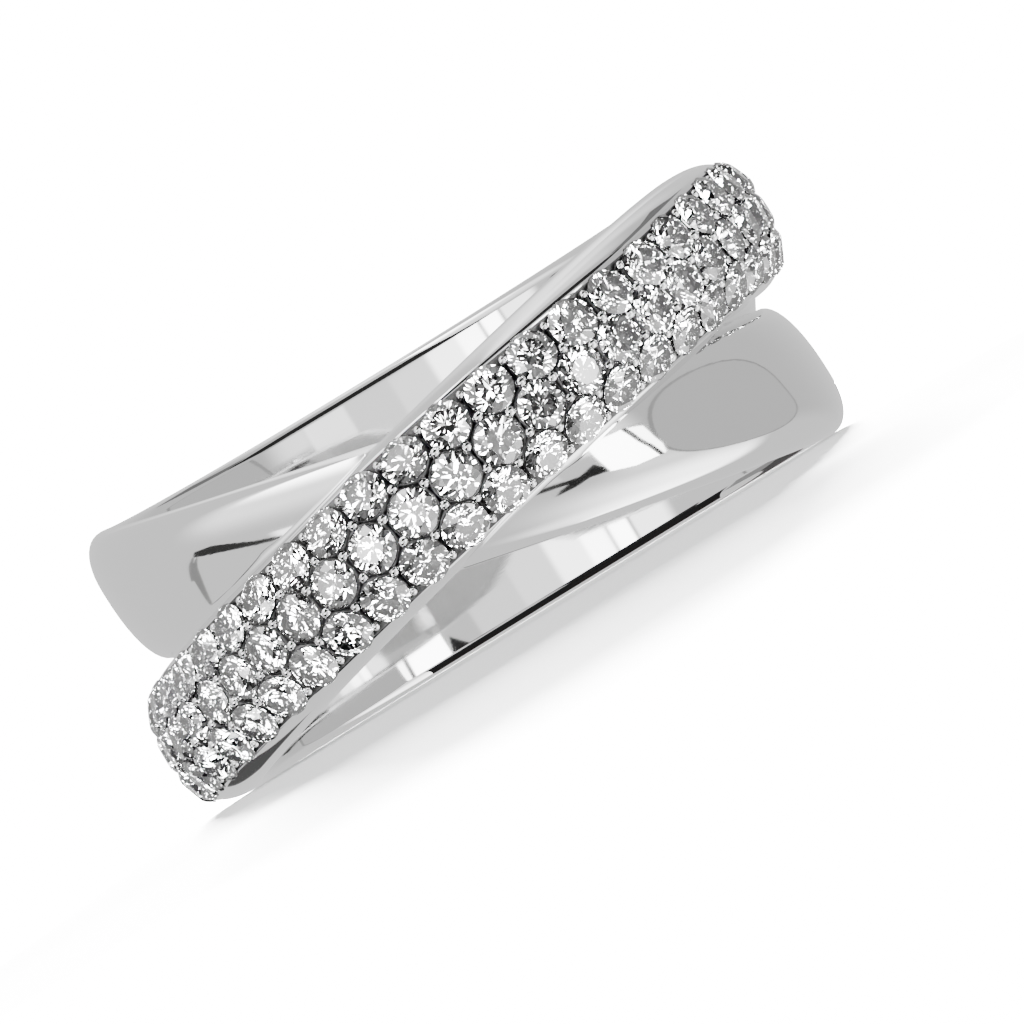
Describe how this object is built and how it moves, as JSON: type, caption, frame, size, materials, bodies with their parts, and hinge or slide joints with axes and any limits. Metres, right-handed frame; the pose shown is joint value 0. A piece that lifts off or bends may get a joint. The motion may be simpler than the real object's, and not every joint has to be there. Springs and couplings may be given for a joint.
{
  "type": "crossover ring",
  "caption": "Finger ring lying on its side: a plain domed band and a stone-paved band cross at the crown and merge into one shank at the back.",
  "frame": {"origin": "on the axis of the finger hole, in the plane that the ring lies on", "axes": "+Z along the finger, -Y from the origin toward the crown where the bands cross, +X toward the end where the paved band is the upper one"},
  "size_m": [0.021, 0.0205, 0.008],
  "materials": {
    "polished_white_gold": "mirror-polished white gold with a bright white plating",
    "stone_paving": "three rows of round brilliant-cut clear stones, held by small metal beads"
  },
  "bodies": {
    "root": {"ring_body": "polished_white_gold", "paving": "stone_paving"}
  },
  "joints": []
}
